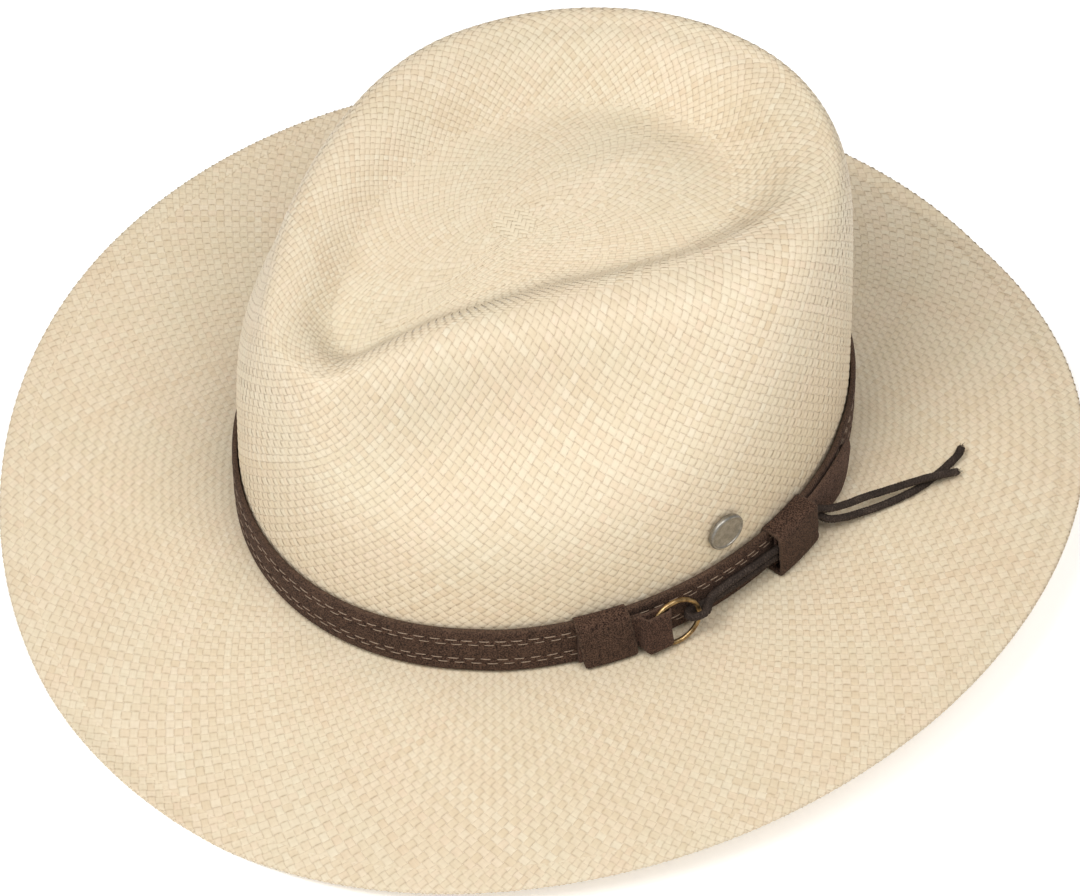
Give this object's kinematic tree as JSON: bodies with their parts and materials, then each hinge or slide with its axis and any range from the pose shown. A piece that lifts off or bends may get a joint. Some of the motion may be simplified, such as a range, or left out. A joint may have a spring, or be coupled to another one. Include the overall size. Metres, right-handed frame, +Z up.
{
  "type": "panama hat",
  "caption": "Woven straw panama hat with a teardrop crown, wide brim, suede band, side ring with a tied cord and keepers, and a round pin badge.",
  "frame": {"origin": "under the middle of the hat's bounding box, on the surface that the brim's front and back edges rest on", "axes": "+X is the wearer's left, the side with the ring, the tied cord and the badge; +Y is the back of the hat; +Z is up, the crown"},
  "size_m": [0.3288, 0.3511, 0.1269],
  "materials": {
    "straw": "woven straw",
    "suede": "suede",
    "thread": "waxed thread",
    "antique_brass": "antique",
    "cord": "braided",
    "pewter": "pewter",
    "cotton_tape": "woven tape",
    "reed_plastic": "satin"
  },
  "bodies": {
    "hat": {"straw_body": "straw", "hat_band": "suede", "band_thread_1": "thread", "band_thread_2": "thread", "band_thread_3": "thread", "band_thread_4": "thread", "ring_tab": "suede", "tie_cord": "cord", "cord_tail_upper": "cord", "cord_tail_lower": "cord", "band_tail": "suede", "sweatband": "cotton_tape", "sweatband_reed": "reed_plastic", "sweatband_thread": "thread", "sweatband_bow": "cotton_tape"},
    "ring": {"ring": "antique_brass"},
    "front_keeper": {"front_keeper": "suede"},
    "rear_keeper": {"rear_keeper": "suede"},
    "badge": {"badge": "pewter", "badge_washer": "pewter"}
  },
  "joints": [
    {"name": "ring_spin", "type": "hinge", "parent": "hat", "child": "ring", "pos_m": [0.08971, -0.02458, 0.02925], "axis": [0.9657, -0.1928, 0.1736], "continuous": true},
    {"name": "front_keeper_slide", "type": "hinge", "parent": "hat", "child": "front_keeper", "pos_m": [-0.02672, -0.00233, 0.028], "axis": [0, 0, 1], "range_deg": [-5, 0.1]},
    {"name": "rear_keeper_slide", "type": "hinge", "parent": "hat", "child": "rear_keeper", "pos_m": [-0.03327, 0.00036, 0.028], "axis": [0, 0, 1], "range_deg": [-2.9, 0.05]},
    {"name": "badge_turn", "type": "hinge", "parent": "hat", "child": "badge", "pos_m": [0.08547, -0.00203, 0.05092], "axis": [0.9977, -0.0317, 0.06], "continuous": true}
  ]
}
